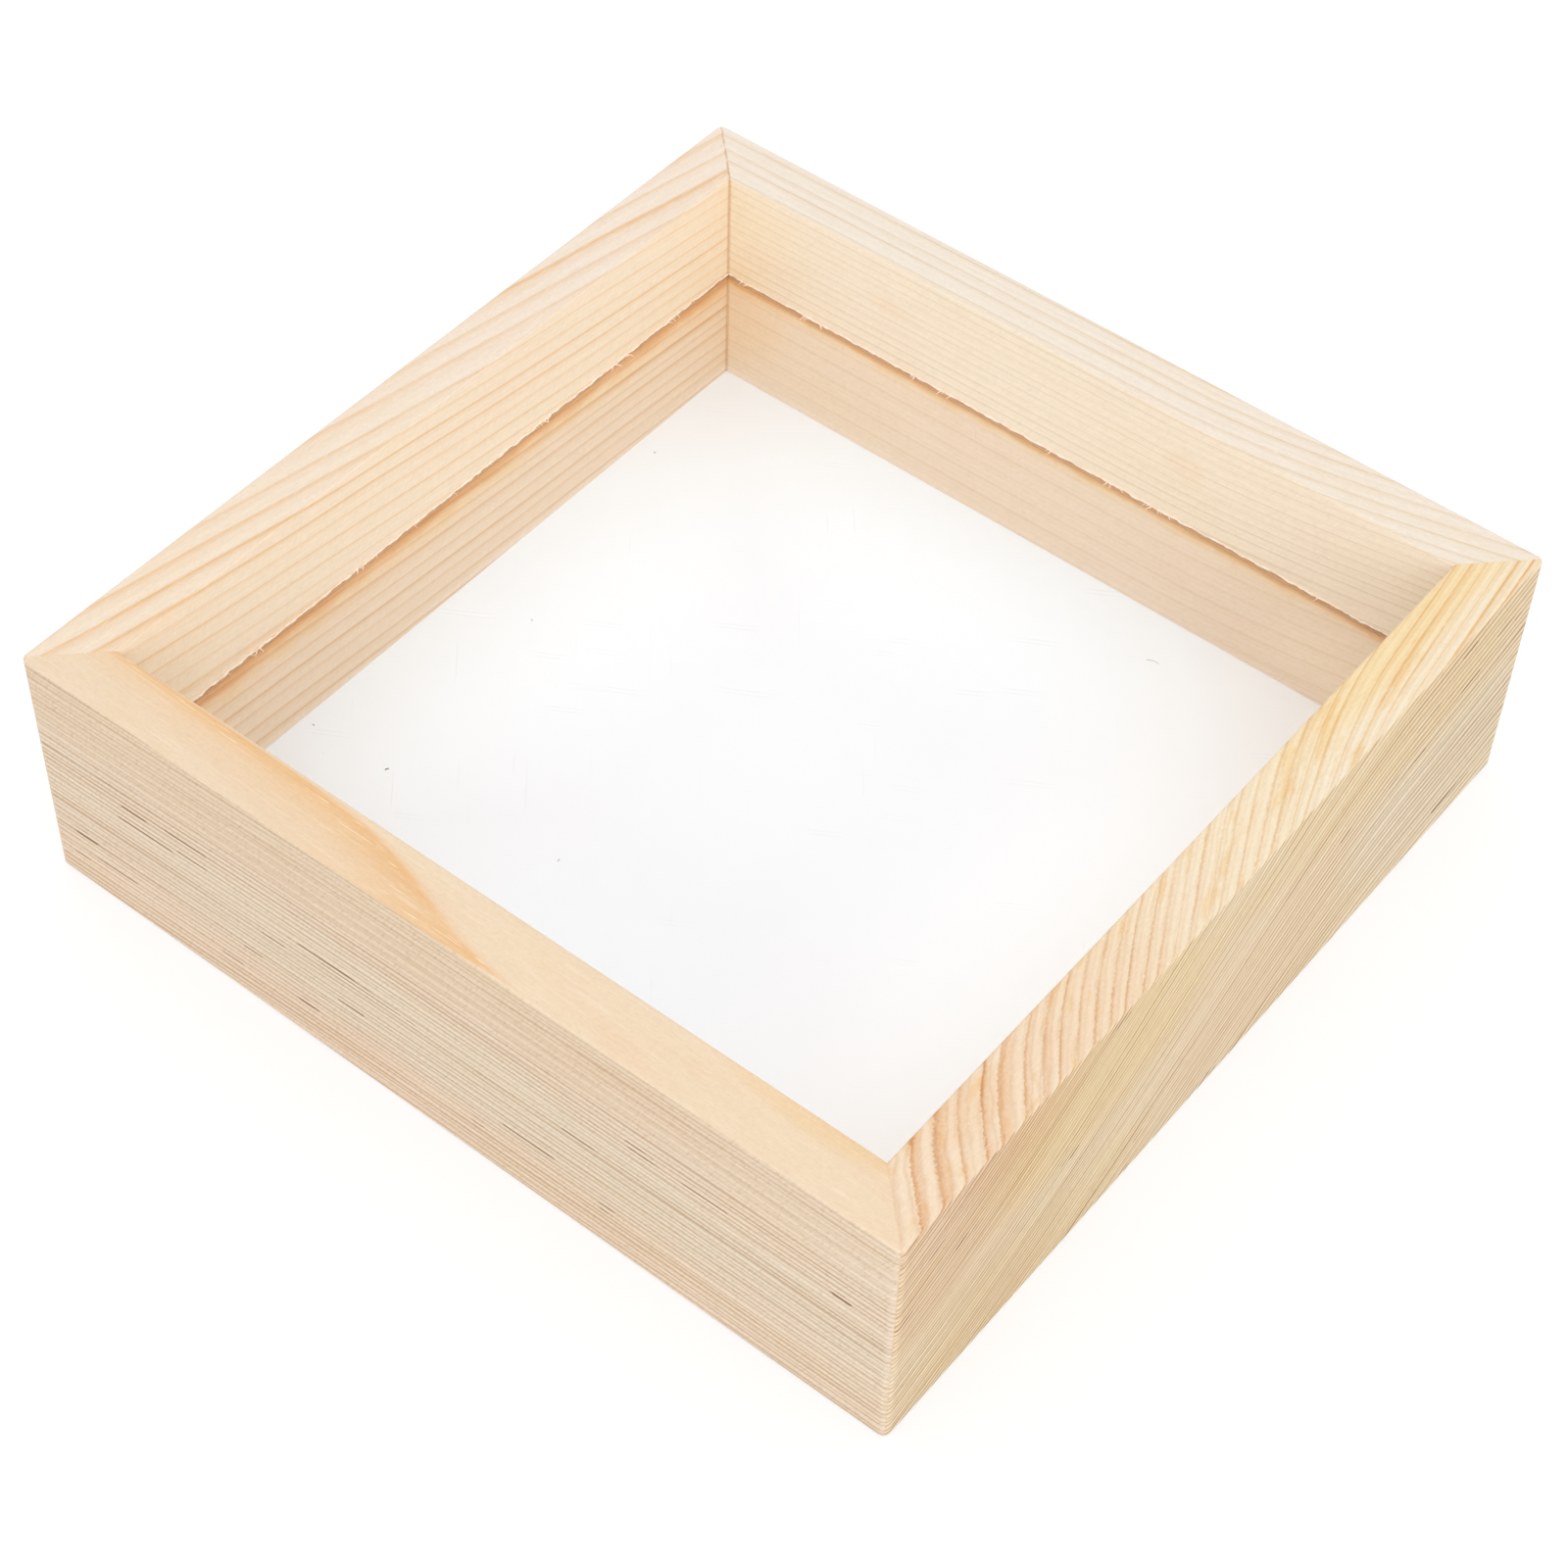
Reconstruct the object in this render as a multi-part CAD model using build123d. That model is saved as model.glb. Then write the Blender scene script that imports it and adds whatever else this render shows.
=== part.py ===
from build123d import *
import os

# Butterfly display case: a deep square frame of four mitred pine rails. A clear pane is
# trapped in a sawn groove at half height, above a specimen chamber. The chamber is closed
# from behind by a thin board with a white card on it, which drops into a rabbet and is held
# by four turn buttons in shallow pockets. All sizes are in millimetres. The origin is at the
# centre of the base, +Z points up and out of the open front, and the front rail is at -Y.

os.makedirs("parts", exist_ok=True)

# ---- driving dimensions -------------------------------------------------------------------
# rails
case_side = 200.0            # outside length of every rail
case_height = 57.5           # height of every rail
rail_thickness = 12.5        # width of a rail's top face
corner_radius = 1.5          # rounding of the upright outer corners
edge_easing = 0.6            # sanded rounding of the long outer and top edges

# pane and its groove
pane_thickness = 2.0
pane_seat_height = 29.3      # underside of the pane above the base
pane_arris = 0.2             # small chamfer along the cut edges of the pane
pane_play = 0.2              # how much higher than the pane its groove is
pane_edge_gap = 0.4          # from the pane's edge to the bottom of the groove
groove_depth = 4.0

# back board, card and their rabbet
board_thickness = 1.5
card_thickness = 0.3
rabbet_width = 4.0
board_edge_gap = 0.3         # from the board's edge to the wall of the rabbet
card_inset = 0.5             # how far the card's edge stays inside the board's edge

# turn buttons and their pockets
button_length = 16.0
button_thickness = 0.8
button_running_gap = 0.1     # above and below a button
button_side_gap = 0.6        # beside a button in its pocket
pocket_wall = 1.3            # wood left between a pocket and the rail's outer face
pocket_corner_radius = 2.0

# pivot screws
screw_radius = 1.0           # over the thread
screw_core_radius = 0.75     # at the thread's root
screw_head_radius = 1.85
screw_length = 8.0           # from the face of the head to the tip
screw_tip_length = 1.6
thread_pitch = 0.8
screw_hole_gap = 0.02        # round the thread in the wood
button_hole_gap = 0.08       # round the screw in its button
drive_slot_width = 0.5
drive_slot_depth = 0.45

# corner nails
nail_leg = 4.5               # length of each leg of the V
nail_thickness = 0.6
nail_height = 12.0
nail_sink = 0.3              # how far a nail is driven below the base

# ---- sizes that follow ----------------------------------------------------------------------
half_side = case_side / 2
opening_side = case_side - 2 * rail_thickness
groove_height = pane_thickness + pane_play
groove_side = opening_side + 2 * groove_depth
pane_side = groove_side - 2 * pane_edge_gap

pocket_depth = button_thickness + 2 * button_running_gap
board_underside = pocket_depth
card_underside = board_underside + board_thickness
rabbet_depth = card_underside + card_thickness
rabbet_side = opening_side + 2 * rabbet_width
board_side = rabbet_side - 2 * board_edge_gap
card_side = board_side - 2 * card_inset

land_width = rail_thickness - rabbet_width
button_width = land_width - pocket_wall - 2 * button_side_gap
button_end_radius = button_width / 2
pivot_inset = pocket_wall + button_side_gap + button_end_radius
pivot_y = pivot_inset - half_side
button_underside = button_running_gap
screw_head_height = screw_head_radius - screw_radius
nail_inset = (land_width - nail_leg) / 2

# far larger than the case: used for cutting through
reach = 2 * (case_side + case_height)

rail_names = ["front_rail", "right_rail", "back_rail", "left_rail"]
side_names = ["front", "right", "back", "left"]
corner_names = ["front_left", "front_right", "back_right", "back_left"]


def slab(side, low, high):
    """A square block about the Z axis between two heights."""
    return Pos(0, 0, (low + high) / 2) * Box(side, side, high - low)


def turned(shape, quarter):
    """A piece made for the front rail, carried round to another rail."""
    return Rot(0, 0, 90 * quarter) * shape


# ---- the frame, first as one ring -----------------------------------------------------------
def frame_ring():
    block = slab(case_side, 0, case_height)
    block = fillet(block.edges().filter_by(Axis.Z), corner_radius)
    levels = block.faces().sort_by(Axis.Z)
    block = fillet(levels[-1].edges() + levels[0].edges(), edge_easing)
    ring = block - slab(opening_side, -reach, reach)
    top_face = ring.faces().sort_by(Axis.Z)[-1]
    ring = fillet(top_face.inner_wires().edges(), edge_easing)
    ring -= slab(groove_side, pane_seat_height, pane_seat_height + groove_height)
    ring -= slab(rabbet_side, -reach, rabbet_depth)
    return ring


# ---- cuts in the base, all made for the front rail or the front left corner -----------------
def button_pocket():
    """Shallow recess in which the button swings from along the rail to across the board."""
    low_x = -(button_end_radius + button_side_gap)
    high_x = button_length - button_end_radius + button_side_gap
    low_y = pivot_y - button_end_radius - button_side_gap
    high_y = land_width - half_side + pocket_corner_radius
    length = high_x - low_x
    width = high_y - low_y
    block = Box(length, width, 2 * pocket_depth)
    block = fillet(block.edges().filter_by(Axis.Z), pocket_corner_radius)
    return Pos((low_x + high_x) / 2, (low_y + high_y) / 2, 0) * block


def screw_hole():
    """Pilot hole from the base up to the tip of the screw."""
    base = Pos(0, pivot_y, 0)
    return base * Cylinder(
        screw_radius + screw_hole_gap,
        button_underside + screw_length,
        align=(Align.CENTER, Align.CENTER, Align.MIN),
    )


def corner_nail(low, high):
    """V nail with its point towards the front left corner and a leg in each rail."""
    point = nail_inset - half_side
    height = high - low
    legs = Pos(point, point) * Rectangle(nail_leg, nail_thickness, align=(Align.MIN, Align.MIN))
    legs += Pos(point, point) * Rectangle(nail_thickness, nail_leg, align=(Align.MIN, Align.MIN))
    return Pos(0, 0, low) * extrude(legs, height)


def rail_wedge():
    """The quarter of the plan that the two mitres of the front rail leave it."""
    corner = reach / 2
    plan = Polygon((0, 0), (-corner, -corner), (corner, -corner), align=None)
    return Pos(0, 0, -corner) * extrude(plan, reach)


# ---- loose pieces ---------------------------------------------------------------------------
def clear_pane():
    sheet = slab(pane_side, pane_seat_height, pane_seat_height + pane_thickness)
    return chamfer(sheet.edges(), pane_arris)


def turn_button():
    """Steel tongue lying along the front rail, with a countersunk hole near one end."""
    centre_x = button_length / 2 - button_end_radius
    outline = SlotOverall(button_length, button_width)
    tongue = Pos(centre_x, pivot_y, button_underside) * extrude(outline, button_thickness)
    return tongue - screw_head(button_hole_gap) - screw_shank(screw_radius + button_hole_gap)


def screw_head(gap):
    """Countersunk head, flush with the outer face of the button, grown sideways by a gap."""
    low = Pos(0, pivot_y, button_underside)
    return low * Cone(
        screw_head_radius + gap,
        screw_radius + gap,
        screw_head_height,
        align=(Align.CENTER, Align.CENTER, Align.MIN),
    )


def screw_shank(radius):
    low = Pos(0, pivot_y, button_underside)
    return low * Cylinder(radius, pocket_depth, align=(Align.CENTER, Align.CENTER, Align.MIN))


def pivot_screw():
    """Wood screw: head with a crossed slot, smooth neck, thread ridges and a pointed tip."""
    tip_height = button_underside + screw_length
    thread_end = tip_height - screw_tip_length
    thread_start = pocket_depth + thread_pitch
    ridge_count = int((thread_end - thread_start) / thread_pitch)
    profile = [
        (0, button_underside),
        (screw_head_radius, button_underside),
        (screw_radius, button_underside + screw_head_height),
        (screw_radius, thread_start),
    ]
    for ridge in range(ridge_count):
        root = thread_start + ridge * thread_pitch
        profile.append((screw_core_radius, root + thread_pitch / 3))
        profile.append((screw_core_radius, root + thread_pitch * 2 / 3))
        profile.append((screw_radius, root + thread_pitch))
    profile.append((screw_core_radius, thread_end))
    profile.append((0, tip_height))
    side = Plane.XZ * make_face(Polyline(profile, close=True))
    screw = Pos(0, pivot_y, 0) * revolve(side, Axis.Z)
    slot = Box(2 * screw_core_radius, drive_slot_width, 2 * drive_slot_depth)
    cross = slot + Rot(0, 0, 90) * slot
    return screw - Pos(0, pivot_y, button_underside) * cross


# ---- assembly -------------------------------------------------------------------------------
ring = frame_ring()
for quarter in range(4):
    ring -= turned(button_pocket(), quarter)
    ring -= turned(screw_hole(), quarter)
    ring -= turned(corner_nail(-nail_sink, nail_sink + nail_height), quarter)

pieces = {}
for quarter in range(4):
    side = side_names[quarter]
    pieces[rail_names[quarter]] = ring & turned(rail_wedge(), quarter)
    pieces[side + "_turn_button"] = turned(turn_button(), quarter)
    pieces[side + "_pivot_screw"] = turned(pivot_screw(), quarter)
    nail = corner_nail(nail_sink, nail_sink + nail_height)
    pieces[corner_names[quarter] + "_corner_nail"] = turned(nail, quarter)

pieces["clear_pane"] = clear_pane()
pieces["back_board"] = slab(board_side, board_underside, card_underside)
pieces["backing_card"] = slab(card_side, card_underside, rabbet_depth)

for node, piece in pieces.items():
    export_step(piece, "parts/" + node + ".step")
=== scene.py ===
# %% [markdown]
# # A butterfly display case in raw pine
# The case is a deep square frame of four mitred pine rails. A clear pane sits in a sawn groove at
# half height, and a thin board with a white card closes the case from behind. The solids are exact
# already, so this lesson is about finish: every face of a rail is cut from one solid grain, the
# pane is a real refracting sheet with dust on it, and the saw has left torn fibres on the groove.

import math

import bpy
from mathutils import Matrix, Vector


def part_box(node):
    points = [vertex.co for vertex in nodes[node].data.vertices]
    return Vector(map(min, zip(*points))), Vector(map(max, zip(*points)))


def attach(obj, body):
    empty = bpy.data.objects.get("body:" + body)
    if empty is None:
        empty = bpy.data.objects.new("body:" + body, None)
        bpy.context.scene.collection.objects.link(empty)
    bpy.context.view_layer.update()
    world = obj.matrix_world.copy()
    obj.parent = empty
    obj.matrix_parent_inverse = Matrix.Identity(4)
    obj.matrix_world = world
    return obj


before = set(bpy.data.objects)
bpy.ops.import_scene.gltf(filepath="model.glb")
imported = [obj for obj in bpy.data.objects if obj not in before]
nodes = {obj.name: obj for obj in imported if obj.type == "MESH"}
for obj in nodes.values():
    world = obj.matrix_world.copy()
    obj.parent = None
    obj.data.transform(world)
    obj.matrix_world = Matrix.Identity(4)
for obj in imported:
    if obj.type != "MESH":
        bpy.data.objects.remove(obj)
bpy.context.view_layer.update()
print("frame of", len(nodes), "pieces")

# %% [markdown]
# ## Sizes
# The size of the case, the thickness of a rail and the place of the pane are read from the solids,
# so the finish follows them if they change. A rail ends 0.4 mm short of the outer faces, because
# its mitres run into the rounded corners, and sizes across a rail are counted from there. Grain is
# easier to think about in millimetres, so the patterns below are worked out in millimetres and the
# new meshes in metres.

# %% Read the sizes from the solids
MM = 0.001
PANE_PLAY = 0.2                    # mm from the pane up to the upper lip of its groove
GROOVE_DEPTH = 4.0                 # mm that the groove goes into a rail

front_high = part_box("front_rail")[1]
pane_low, pane_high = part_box("clear_pane")

half_side = front_high.x / MM      # out to the end of the mitres
case_height = front_high.z / MM
front_mesh = nodes["front_rail"].data
inner_faces = [face for face in front_mesh.polygons if face.normal.y > 0.99]
inner_wall = max(inner_faces, key=lambda face: face.area)
half_opening = -inner_wall.center.y / MM
rail_thickness = half_side - half_opening          # inwards from the end of the mitres
groove_floor = rail_thickness - GROOVE_DEPTH
pane_bottom = pane_low.z / MM
pane_top = pane_high.z / MM
groove_top = pane_top + PANE_PLAY
print("opening", round(2 * half_opening, 2), "mm, pane from", round(pane_bottom, 2), "to",
      round(pane_top, 2), "mm")

# %% [markdown]
# ## Node trees written as arithmetic
# A finish is a tree of nodes. Such a tree can be linked by hand in the Shader Editor, but the one
# for pine has hundreds of nodes, most of them sums, and a sum reads best as one. `Wire` is the end
# of a link: adding or multiplying wires adds the Math node for it. `Tree` adds any other node. Its
# settings are made first, because they can change which sockets there are, and then the sockets
# get their values.

# %% A wire with Python's arithmetic
class Wire:
    """The output socket of a node, which adds, subtracts and scales like a number."""

    def __init__(self, tree, socket):
        self.tree = tree
        self.socket = socket

    def __add__(self, other):
        return self.tree.maths("ADD", self, other)

    def __radd__(self, other):
        return self.tree.maths("ADD", other, self)

    def __sub__(self, other):
        return self.tree.maths("SUBTRACT", self, other)

    def __rsub__(self, other):
        return self.tree.maths("SUBTRACT", other, self)

    def __mul__(self, other):
        return self.tree.maths("MULTIPLY", self, other)

    def __rmul__(self, other):
        return self.tree.maths("MULTIPLY", other, self)

    def __truediv__(self, other):
        return self.tree.maths("DIVIDE", self, other)

    def __rtruediv__(self, other):
        return self.tree.maths("DIVIDE", other, self)

    def __abs__(self):
        return self.tree.maths("ABSOLUTE", self)


# %% A tree that adds nodes
class Tree:
    """Adds nodes to a node tree, of a material or of Geometry Nodes."""

    def __init__(self, node_tree):
        self.node_tree = node_tree

    def node(self, kind, settings=None, sockets=None, output=0):
        """Adds a node: its settings first, then the values or links of its sockets."""
        node = self.node_tree.nodes.new(kind)
        for name, value in (settings or {}).items():
            if name == "stops":
                self.set_stops(node.color_ramp, value)
            else:
                setattr(node, name, value)
        for key, value in (sockets or {}).items():
            if isinstance(value, Wire):
                self.node_tree.links.new(value.socket, node.inputs[key])
            else:
                node.inputs[key].default_value = value
        return Wire(self, node.outputs[output]) if len(node.outputs) else None

    def also(self, wire, output):
        """Another output of the node that a wire comes from."""
        return Wire(self, wire.socket.node.outputs[output])

    def set_stops(self, ramp, stops):
        while len(ramp.elements) < len(stops):
            ramp.elements.new(1.0)
        for element, (place, grey) in zip(ramp.elements, stops):
            element.position = place
            element.color = (grey, grey, grey, 1.0)

    def maths(self, operation, first, second=0.0):
        return self.node("ShaderNodeMath", {"operation": operation}, {0: first, 1: second})

    def rise(self, value, low, high, start=0.0, end=1.0):
        """Goes smoothly from start to end while the value goes from low to high."""
        return self.node(
            "ShaderNodeMapRange",
            {"interpolation_type": "SMOOTHSTEP"},
            {"Value": value, "From Min": low, "From Max": high, "To Min": start, "To Max": end},
        )

    def ramp(self, value, stops):
        """A grey level read from a list of (place, grey)."""
        return self.node("ShaderNodeValToRGB", {"stops": stops}, {"Fac": value})

    def vector(self, x, y, z):
        return self.node("ShaderNodeCombineXYZ", None, {"X": x, "Y": y, "Z": z})

    def apart(self, vector):
        """The x, y and z of a vector."""
        x = self.node("ShaderNodeSeparateXYZ", None, {"Vector": vector})
        return x, self.also(x, "Y"), self.also(x, "Z")

    def vector_maths(self, operation, first, second):
        return self.node("ShaderNodeVectorMath", {"operation": operation}, {0: first, 1: second})

    def place(self):
        """Where a point of the piece is, in metres."""
        return self.node("ShaderNodeTexCoord", output="Object")

    def noise(self, place, scale=1.0, detail=2.0, roughness=0.5):
        """Three-dimensional noise, 0.5 on average."""
        return self.node(
            "ShaderNodeTexNoise",
            None,
            {"Vector": place, "Scale": scale, "Detail": detail, "Roughness": roughness},
        )

    def chance(self, value):
        """A random number for each whole number."""
        return self.node("ShaderNodeTexWhiteNoise", {"noise_dimensions": "1D"}, {"W": value})

    def random_vector(self, low, high, seed):
        return self.node(
            "FunctionNodeRandomValue", {"data_type": "FLOAT_VECTOR"},
            {0: low, 1: high, "Seed": seed})

    def bump(self, relief, strength, depth):
        """Relief that is too small for geometry, with its depth in millimetres."""
        return self.node("ShaderNodeBump", None, {
            "Height": relief, "Strength": strength, "Distance": depth * MM})

    def blend(self, share, first, second, mode="MIX"):
        """Colour from first to second, or second laid over first in another mode."""
        # a tint is written without the fourth number, its alpha
        first, second = (
            colour if isinstance(colour, Wire) else (*colour, 1.0)[:4]
            for colour in (first, second)
        )
        return self.node(
            "ShaderNodeMix",
            {"data_type": "RGBA", "blend_type": mode},
            {0: share, 6: first, 7: second},
            output=2,
        )

    def tinted(self, share, colour, tint):
        """The colour multiplied by a tint, where share is 1."""
        return self.blend(share, colour, tint, "MULTIPLY")


# %% [markdown]
# Colours are written the way a paint chart gives them, from 0 to 255 on screen, and turned into the
# linear values that shaders work with. A tint is written as the three factors that it multiplies a
# linear colour by. `new_finish` starts a material with nothing in it, `finish_surface` ends it, and
# `dress` gives a solid its finish in place of the plain one that it came with.

# %% Colours and finishes
def tone(red, green, blue):
    """Linear colour from the 0 to 255 values seen on screen."""

    def linear(value):
        share = value / 255
        return share / 12.92 if share <= 0.04045 else ((share + 0.055) / 1.055) ** 2.4

    return (linear(red), linear(green), linear(blue), 1.0)


def new_finish(name):
    material = bpy.data.materials.new(name)
    material.use_nodes = True
    material.node_tree.nodes.clear()
    return material, Tree(material.node_tree)


def finish_surface(tree, sockets):
    """One Principled shader, linked to the output."""
    surface = tree.node("ShaderNodeBsdfPrincipled", None, sockets)
    tree.node("ShaderNodeOutputMaterial", None, {"Surface": surface})


def dress(node_name, material):
    for slot in nodes[node_name].material_slots:
        slot.material = material
    print(material.name, "on", node_name)


# %% [markdown]
# ## Pine as a solid
# Growth rings are nested sheets that run the length of a tree. A board cut from it shows the same
# sheets on every face: fine lines on a side that crosses them, and wide flames on a face nearly
# parallel to them. An image of wood on each face would break off at the edges. So one formula
# gives the ring number at any point of a rail instead, every face is coloured from that, and the
# figure runs on round the edges. In a rail's own coordinates, s runs along it from its middle, u
# goes in from the end of its mitres, which is just inside its outer face, and z up. A ring sheet
# leans across the rail, climbs along it, and has a bent stretch, because no tree is a straight
# cylinder.

# %% What a grain is made of
class Grain:
    """Named sizes of one rail's grain, in millimetres, and its colours."""

    def __init__(self, **values):
        self.lean_start = 0.0      # rise of a ring across the rail, at the start of the rail
        self.lean_end = 0.0        # the same from near its middle on
        self.slope = 0.0           # steady climb along the rail
        self.bend = 0.0            # extra climb of a bent stretch
        self.bend_start = -100.0
        self.bend_end = 100.0
        self.fan = 0.0             # how much less a ring climbs for each mm below the top
        self.pitch = 2.2           # from ring to ring
        self.low_pitch = 2.2       # the same below turn_height
        self.turn_height = 0.0
        self.first_ring = 0.0      # shifts all rings, as a part of a ring
        self.heart = 1             # 1 where rings fade upwards from the heart, -1 downwards
        self.stray = 0.5           # how far rings stray from the formula
        self.uneven = 0.5          # how uneven their widths are
        self.late_width = 0.3      # share of a ring that is dark late wood
        self.peak = 0.92           # where in a ring it is darkest
        self.middle = 1.0          # strength of the rings at the middle of the rail
        self.broad = 0.0           # strength of the broad strokes beside them at its start
        self.ragged = 0.0          # how ragged the rings are on the top, all but its far end
        self.faintest = 0.6        # strength of the weakest ring, where the strongest has 1
        self.fine_pitch = 1.4      # from fine line to fine line
        self.fine = 0.2            # how strongly fine lines show on the planed faces
        self.saw = 0.8             # the same on the sawn outer face
        self.keen = 1.0            # how much more strongly at the start of the rail
        self.calm_above = 99.0     # fine lines are fainter above this height
        self.groove_band_reach = 1.0          # how far the band under the groove spreads: scorch and painted shade
        self.blotch = 0.15         # strength of the rough orange patches on the top
        self.seed = 0.0            # a number of its own, so that no two rails are alike
        self.joints = (0.0, 0.0)   # darkness of the glue line at the start and end of the rail
        self.nicks = ()            # where the saw tore the outer face: s, z and half length
        self.flushes = ()          # tinted areas of the outer face: s, z, half sizes and tint
        self.top_flushes = ()      # the same on the top: s, u, half sizes and tint
        # the inner wall's areas include painted light: lighter tints where the next rail shades the
        # wall
        self.wall_tints_and_painted_light = ()     # and on the inner wall: s, z, half sizes and tint
        self.end_stain = values["stain"]    # tint of the late wood at the end of the top
        for name, value in values.items():
            setattr(self, name, value)
        self.shift = self.seed * 11.0       # how far its seed moves the noise along the rail


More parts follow.
